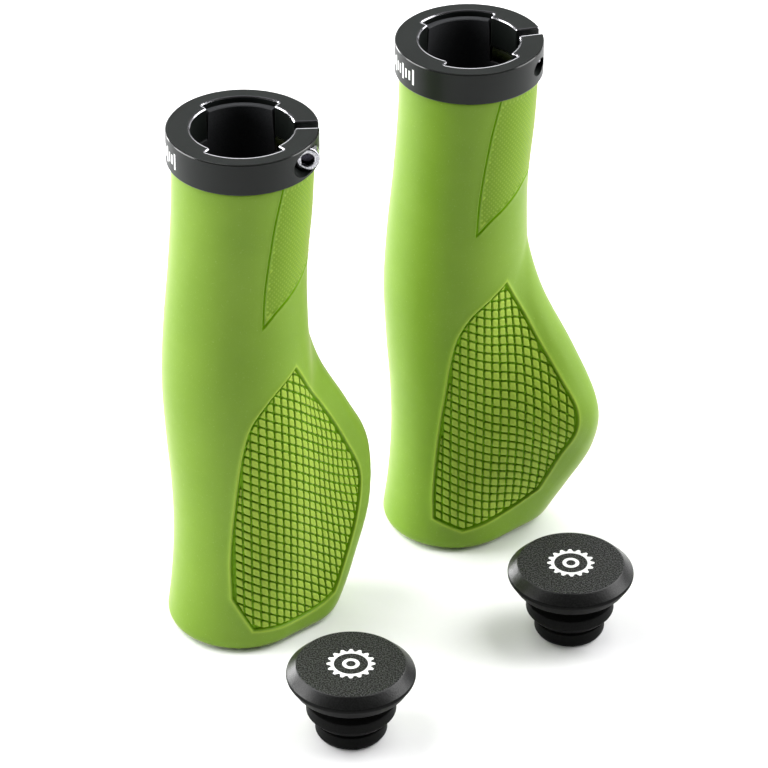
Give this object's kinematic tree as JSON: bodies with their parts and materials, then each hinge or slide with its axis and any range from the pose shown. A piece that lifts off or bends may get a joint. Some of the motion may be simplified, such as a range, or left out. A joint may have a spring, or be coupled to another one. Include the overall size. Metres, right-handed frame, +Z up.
{
  "type": "handlebar grip set",
  "caption": "Ergonomic bicycle handlebar grips with palm wings and split screw-clamp rings, standing on end beside their push-in bar end plugs.",
  "frame": {"origin": "on the ground, under the middle of the whole set's bounding box", "axes": "+Z up, along both handlebar bores from the outboard end to the lock rings; +X to the right and +Y away from the side where the end plugs stand"},
  "size_m": [0.1052, 0.1152, 0.1266],
  "materials": {
    "grip_rubber": "satin lime-green moulded rubber, matt with a faint sheen",
    "core_nylon": "black moulded nylon, matt",
    "ring_anodised": "black anodised aluminium, satin, with bright machined edges",
    "screw_steel": "zinc-plated steel, bright",
    "plug_plastic": "black moulded plastic, leather-grained head"
  },
  "bodies": {
    "left_grip": {"left_sleeve": "grip_rubber", "left_core": "core_nylon"},
    "left_ring": {"left_lock_ring": "ring_anodised"},
    "left_screw": {"left_clamp_screw": "screw_steel"},
    "left_plug": {"left_end_plug": "plug_plastic"},
    "right_grip": {"right_sleeve": "grip_rubber", "right_core": "core_nylon"},
    "right_ring": {"right_lock_ring": "ring_anodised"},
    "right_screw": {"right_clamp_screw": "screw_steel"},
    "right_plug": {"right_end_plug": "plug_plastic"}
  },
  "joints": [
    {"name": "left_ring_slide", "type": "slide", "parent": "left_grip", "child": "left_ring", "axis": [0, 0, 1], "range_m": [0, 0.02]},
    {"name": "left_screw_turn", "type": "hinge", "parent": "left_ring", "child": "left_screw", "pos_m": [-0.02042, 0.00275, 0.12285], "axis": [0.0698, -0.9976, 0], "range_deg": [-180, 720]},
    {"name": "right_ring_slide", "type": "slide", "parent": "right_grip", "child": "right_ring", "axis": [0, 0, 1], "range_m": [0, 0.02]},
    {"name": "right_screw_turn", "type": "hinge", "parent": "right_ring", "child": "right_screw", "pos_m": [0.02822, 0.04406, 0.12285], "axis": [-0.2419, 0.9703, 0], "range_deg": [-180, 720]},
    {"name": "right_grip_lift", "type": "slide", "parent": "left_grip", "child": "right_grip", "axis": [0, 0, 1], "range_m": [0, 0.15]},
    {"name": "left_plug_lift", "type": "slide", "parent": "left_grip", "child": "left_plug", "axis": [0, 0, 1], "range_m": [0, 0.15]},
    {"name": "right_plug_lift", "type": "slide", "parent": "left_grip", "child": "right_plug", "axis": [0, 0, 1], "range_m": [0, 0.15]}
  ]
}
